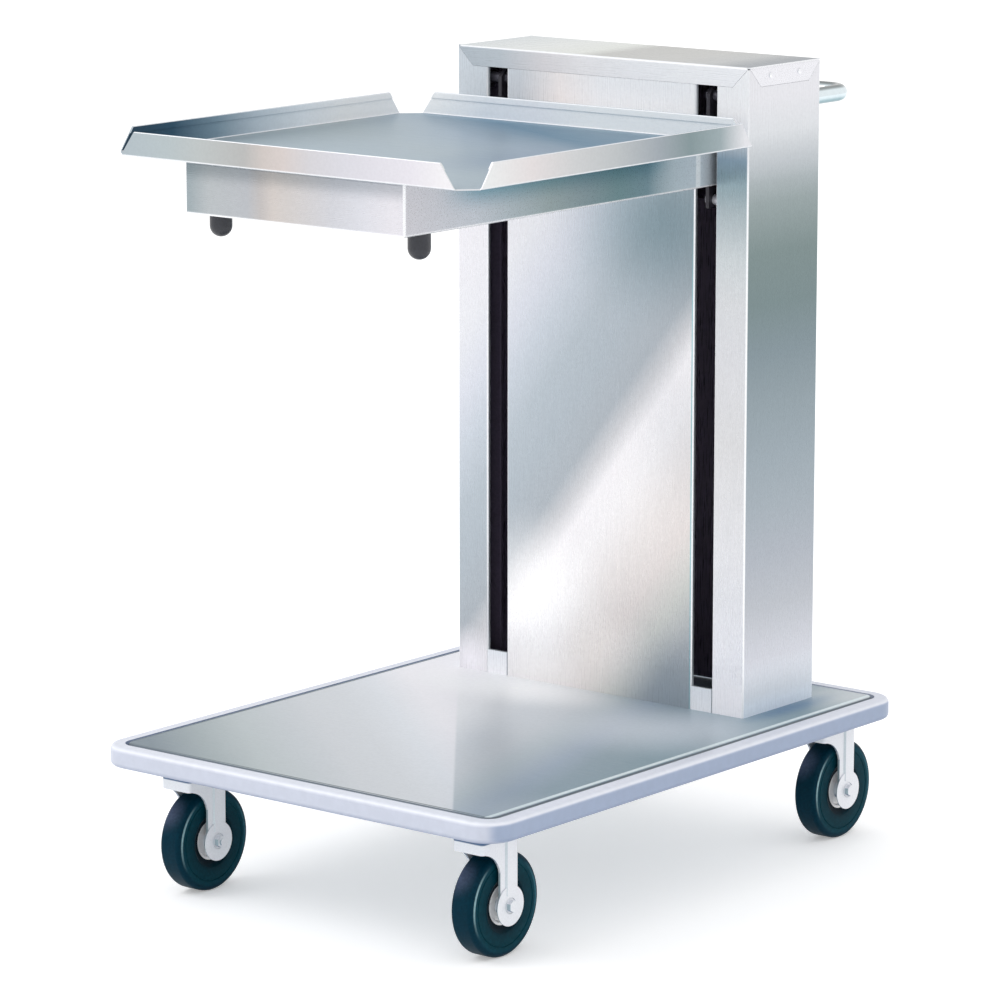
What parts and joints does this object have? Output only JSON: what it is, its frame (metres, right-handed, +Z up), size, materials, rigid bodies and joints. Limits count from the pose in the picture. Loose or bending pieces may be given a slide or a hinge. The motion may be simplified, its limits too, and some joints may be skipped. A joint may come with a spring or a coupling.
{
  "type": "tray dispenser cart",
  "caption": "Mobile cantilever tray dispenser: spring-lifted tray platform on two arms that slide in a slotted tower, on a bumpered deck with swivel casters.",
  "frame": {"origin": "middle of the whole cart's outline, on the floor", "axes": "+Z up, +X to the cart's right seen from the front, +Y from the tray platform to the tower"},
  "size_m": [0.618, 0.853, 0.999],
  "materials": {
    "stainless": "brushed",
    "aluminium_track": "mill",
    "bumper_vinyl": "satin",
    "zinc": "bright zinc plate",
    "black_steel": "satin",
    "spring_wire": "drawn wire",
    "handle_tube": "polished",
    "rubber": "moulded",
    "tyre": "moulded, slightly glossy",
    "nylon": "moulded"
  },
  "bodies": {
    "base": {"deck_pan": "stainless", "front_cross_channel": "stainless", "middle_cross_channel": "stainless", "rear_cross_channel": "stainless", "tower_left_side": "stainless", "tower_right_side": "stainless", "tower_front_panel": "stainless", "tower_back_cover": "stainless", "tower_cap": "stainless", "left_slot_sill": "stainless", "right_slot_sill": "stainless", "bumper_retainer": "aluminium_track", "bumper_strip": "bumper_vinyl", "front_left_plate": "zinc", "front_right_plate": "zinc", "rear_left_plate": "zinc", "rear_right_plate": "zinc", "caster_bolts": "zinc", "left_guide_rail": "black_steel", "right_guide_rail": "black_steel", "spring_anchor_bar": "black_steel", "rail_bolts": "zinc", "handle_bolts": "zinc", "tower_screws": "zinc", "spring_1": "spring_wire", "spring_2": "spring_wire", "spring_3": "spring_wire", "spring_4": "spring_wire", "top_stops": "rubber", "push_handle": "handle_tube"},
    "carriage": {"tray_platform": "stainless", "carriage_frame": "stainless", "left_roller_bracket": "black_steel", "right_roller_bracket": "black_steel", "spring_bar": "black_steel", "roller_axles": "zinc", "left_knob": "rubber", "right_knob": "rubber", "carriage_bolts": "zinc"},
    "upper_left_roller": {"upper_left_roller": "nylon"},
    "upper_right_roller": {"upper_right_roller": "nylon"},
    "lower_left_roller": {"lower_left_roller": "nylon"},
    "lower_right_roller": {"lower_right_roller": "nylon"},
    "front_left_caster": {"front_left_fork": "zinc", "front_left_axle": "zinc"},
    "front_left_wheel": {"front_left_hub": "zinc", "front_left_tyre": "tyre"},
    "front_right_caster": {"front_right_fork": "zinc", "front_right_axle": "zinc"},
    "front_right_wheel": {"front_right_hub": "zinc", "front_right_tyre": "tyre"},
    "rear_left_caster": {"rear_left_fork": "zinc", "rear_left_axle": "zinc"},
    "rear_left_wheel": {"rear_left_hub": "zinc", "rear_left_tyre": "tyre"},
    "rear_right_caster": {"rear_right_fork": "zinc", "rear_right_axle": "zinc"},
    "rear_right_wheel": {"rear_right_hub": "zinc", "rear_right_tyre": "tyre"}
  },
  "joints": [
    {"name": "carriage_slide", "type": "slide", "parent": "base", "child": "carriage", "axis": [0, 0, 1], "range_m": [-0.628, 0], "stiffness_N_per_m": 600, "springref_m": 0.2, "deforming": ["spring_1", "spring_2", "spring_3", "spring_4"]},
    {"name": "upper_left_roll", "type": "hinge", "parent": "carriage", "child": "upper_left_roller", "pos_m": [-0.1915, 0.1855, 0.96], "axis": [1, 0, 0], "range_deg": [-2730, 1]},
    {"name": "upper_right_roll", "type": "hinge", "parent": "carriage", "child": "upper_right_roller", "pos_m": [0.1915, 0.1855, 0.96], "axis": [1, 0, 0], "range_deg": [-2730, 1]},
    {"name": "lower_left_roll", "type": "hinge", "parent": "carriage", "child": "lower_left_roller", "pos_m": [-0.1915, 0.1855, 0.832], "axis": [1, 0, 0], "range_deg": [-1, 2730]},
    {"name": "lower_right_roll", "type": "hinge", "parent": "carriage", "child": "lower_right_roller", "pos_m": [0.1915, 0.1855, 0.832], "axis": [1, 0, 0], "range_deg": [-1, 2730]},
    {"name": "front_left_swivel", "type": "hinge", "parent": "base", "child": "front_left_caster", "pos_m": [-0.229, -0.35, 0.16], "axis": [0, 0, 1], "continuous": true},
    {"name": "front_left_roll", "type": "hinge", "parent": "front_left_caster", "child": "front_left_wheel", "pos_m": [-0.229, -0.324, 0.0635], "axis": [1, 0, 0], "continuous": true},
    {"name": "front_right_swivel", "type": "hinge", "parent": "base", "child": "front_right_caster", "pos_m": [0.229, -0.35, 0.16], "axis": [0, 0, 1], "continuous": true},
    {"name": "front_right_roll", "type": "hinge", "parent": "front_right_caster", "child": "front_right_wheel", "pos_m": [0.229, -0.324, 0.0635], "axis": [1, 0, 0], "continuous": true},
    {"name": "rear_left_swivel", "type": "hinge", "parent": "base", "child": "rear_left_caster", "pos_m": [-0.229, 0.337, 0.16], "axis": [0, 0, 1], "continuous": true},
    {"name": "rear_left_roll", "type": "hinge", "parent": "rear_left_caster", "child": "rear_left_wheel", "pos_m": [-0.229, 0.363, 0.0635], "axis": [1, 0, 0], "continuous": true},
    {"name": "rear_right_swivel", "type": "hinge", "parent": "base", "child": "rear_right_caster", "pos_m": [0.229, 0.337, 0.16], "axis": [0, 0, 1], "continuous": true},
    {"name": "rear_right_roll", "type": "hinge", "parent": "rear_right_caster", "child": "rear_right_wheel", "pos_m": [0.229, 0.363, 0.0635], "axis": [1, 0, 0], "continuous": true}
  ],
  "couplings": [
    {"joint": "upper_left_roll", "follows": "carriage_slide", "rad_per_m": 75.758},
    {"joint": "upper_right_roll", "follows": "carriage_slide", "rad_per_m": 75.758},
    {"joint": "lower_left_roll", "follows": "carriage_slide", "rad_per_m": -75.758},
    {"joint": "lower_right_roll", "follows": "carriage_slide", "rad_per_m": -75.758}
  ]
}
